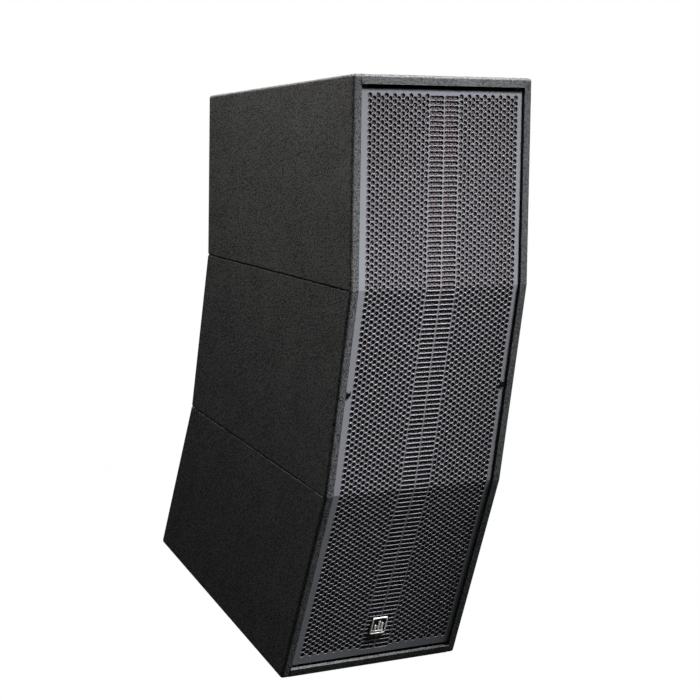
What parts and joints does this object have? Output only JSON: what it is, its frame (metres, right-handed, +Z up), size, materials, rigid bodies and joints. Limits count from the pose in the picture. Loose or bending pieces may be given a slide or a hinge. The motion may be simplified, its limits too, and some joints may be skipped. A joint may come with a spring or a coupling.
{
  "type": "line array speaker",
  "caption": "Curved line array loudspeaker: one wedge-segmented cabinet with a bent perforated grille, woofers, tweeter strips, rear amplifier plate and pole socket.",
  "frame": {"origin": "centre of the pole socket's mouth, under the sloping bottom panel", "axes": "+X to the right seen from the front, +Y towards the back, +Z up along the pole"},
  "size_m": [0.27, 0.4525, 0.7156],
  "materials": {
    "cabinet_paint": "textured hard black paint on plywood",
    "bare_plywood": "black-stained plywood",
    "grille_paint": "satin charcoal powder coat",
    "grille_fabric": "open acoustic mesh",
    "black_screw": "black zinc",
    "badge_metal": "satin with dark recess",
    "basket_paint": "satin black",
    "magnet_steel": "dark phosphate",
    "strip_body": "black anodised",
    "cone_paper": "coated paper",
    "coil_former": "copper winding on a former",
    "surround_rubber": "matte",
    "spider_fabric": "resin-dipped cloth",
    "waveguide_plastic": "matte",
    "membrane_film": "film with foil tracks",
    "socket_metal": "satin black",
    "insert_steel": "zinc plated",
    "plate_paint": "satin black powder coat",
    "sink_aluminium": "black anodised",
    "circuit_board": "solder mask",
    "pot_metal": "nickel",
    "knob_plastic": "satin",
    "socket_plastic": "matte",
    "rocker_plastic": "gloss",
    "jack_metal": "satin black",
    "latch_metal": "nickel"
  },
  "bodies": {
    "cabinet": {"amplifier_board": "circuit_board", "back_panel_lower": "cabinet_paint", "back_panel_upper": "cabinet_paint", "badge": "badge_metal", "baffle_lower": "bare_plywood", "baffle_middle": "bare_plywood", "baffle_upper": "bare_plywood", "bottom_panel": "cabinet_paint", "brace_lower": "bare_plywood", "brace_upper": "bare_plywood", "driver_screws": "black_screw", "gain_pot": "pot_metal", "grille": "grille_paint", "grille_battens": "bare_plywood", "grille_cloth": "grille_fabric", "grille_screws": "black_screw", "heat_sink": "sink_aluminium", "hf_lower_magnet_bridge": "strip_body", "hf_lower_membrane": "membrane_film", "hf_lower_waveguide": "waveguide_plastic", "hf_middle_magnet_bridge": "strip_body", "hf_middle_membrane": "membrane_film", "hf_middle_waveguide": "waveguide_plastic", "hf_upper_magnet_bridge": "strip_body", "hf_upper_membrane": "membrane_film", "hf_upper_waveguide": "waveguide_plastic", "jack_socket": "jack_metal", "left_side_panel": "cabinet_paint", "panel_screws": "black_screw", "pole_socket": "socket_metal", "power_inlet": "socket_plastic", "rear_battens": "bare_plywood", "rear_plate": "plate_paint", "rigging_inserts": "insert_steel", "right_side_panel": "cabinet_paint", "rocker_housing": "socket_plastic", "socket_flange": "socket_metal", "top_panel": "cabinet_paint", "woofer_lower_basket": "basket_paint", "woofer_lower_magnet": "magnet_steel", "woofer_lower_spider": "spider_fabric", "woofer_lower_surround": "surround_rubber", "woofer_middle_basket": "basket_paint", "woofer_middle_magnet": "magnet_steel", "woofer_middle_spider": "spider_fabric", "woofer_middle_surround": "surround_rubber", "woofer_upper_basket": "basket_paint", "woofer_upper_magnet": "magnet_steel", "woofer_upper_spider": "spider_fabric", "woofer_upper_surround": "surround_rubber"},
    "cone_upper": {"woofer_upper_cone": "cone_paper", "woofer_upper_voice_coil": "coil_former"},
    "cone_middle": {"woofer_middle_cone": "cone_paper", "woofer_middle_voice_coil": "coil_former"},
    "cone_lower": {"woofer_lower_cone": "cone_paper", "woofer_lower_voice_coil": "coil_former"},
    "gain_control": {"gain_knob": "knob_plastic", "gain_shaft": "pot_metal"},
    "rocker": {"power_rocker": "rocker_plastic"},
    "latch": {"jack_latch": "latch_metal"}
  },
  "joints": [
    {"name": "cone_upper_slide", "type": "slide", "parent": "cabinet", "child": "cone_upper", "axis": [0, -0.9962, -0.0872], "range_m": [-0.004, 0.004], "stiffness_N_per_m": 2500},
    {"name": "cone_middle_slide", "type": "slide", "parent": "cabinet", "child": "cone_middle", "axis": [0, -0.9659, -0.2588], "range_m": [-0.004, 0.004], "stiffness_N_per_m": 2500},
    {"name": "cone_lower_slide", "type": "slide", "parent": "cabinet", "child": "cone_lower", "axis": [0, -0.9063, -0.4226], "range_m": [-0.004, 0.004], "stiffness_N_per_m": 2500},
    {"name": "gain_turn", "type": "hinge", "parent": "cabinet", "child": "gain_control", "pos_m": [0.018, 0.02243, 0.35243], "axis": [0, 0.9659, 0.2588], "range_deg": [-150, 150]},
    {"name": "rocker_tilt", "type": "hinge", "parent": "cabinet", "child": "rocker", "pos_m": [-0.026, 0.03337, 0.30774], "axis": [1, 0, 0], "range_deg": [0, 15]},
    {"name": "latch_push", "type": "slide", "parent": "cabinet", "child": "latch", "axis": [0, -0.9659, -0.2588], "range_m": [0, 0.002], "stiffness_N_per_m": 400, "springref_m": -0.0005}
  ],
  "couplings": [
    {"joint": "cone_middle_slide", "follows": "cone_upper_slide", "ratio": 1},
    {"joint": "cone_lower_slide", "follows": "cone_upper_slide", "ratio": 1}
  ]
}
